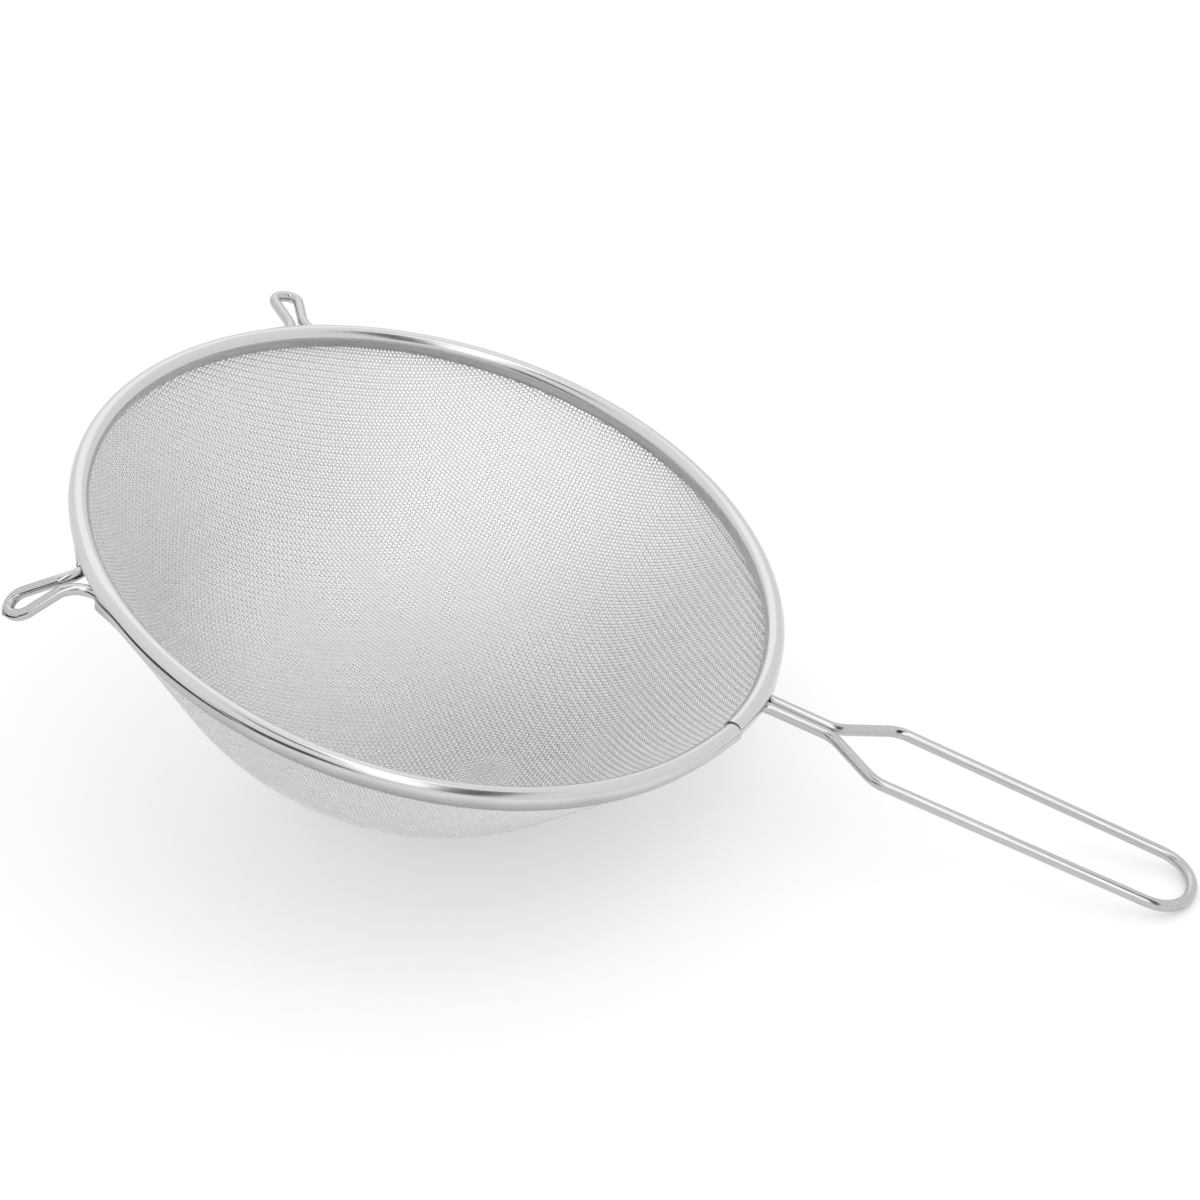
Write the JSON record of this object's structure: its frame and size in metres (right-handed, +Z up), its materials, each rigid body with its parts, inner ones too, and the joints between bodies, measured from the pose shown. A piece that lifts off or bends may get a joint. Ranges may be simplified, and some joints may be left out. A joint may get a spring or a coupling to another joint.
{
  "type": "kitchen sieve",
  "caption": "Round wire sieve: a woven mesh bowl held in a rolled steel rim, with two rest ears and a long wire loop handle.",
  "frame": {"origin": "on the table plane, under the middle of the lying sieve's box", "axes": "+Z up from the table, +X along the sieve towards the end of the handle, +Y to the side; the sieve lies on its bowl and its handle's end, with the rim's plane tilted about 18 degrees"},
  "size_m": [0.3868, 0.25, 0.1325],
  "materials": {
    "woven_mesh": "bright drawn stainless wire, plain weave",
    "rim_sheet": "polished stainless sheet with fine rolling lines",
    "frame_wire": "bright stainless wire"
  },
  "bodies": {
    "root": {"mesh_bowl": "woven_mesh", "rim_band": "rim_sheet", "handle_wire": "frame_wire", "left_ear": "frame_wire", "right_ear": "frame_wire", "left_hoop": "frame_wire", "right_hoop": "frame_wire", "front_hoop": "frame_wire"}
  },
  "joints": []
}
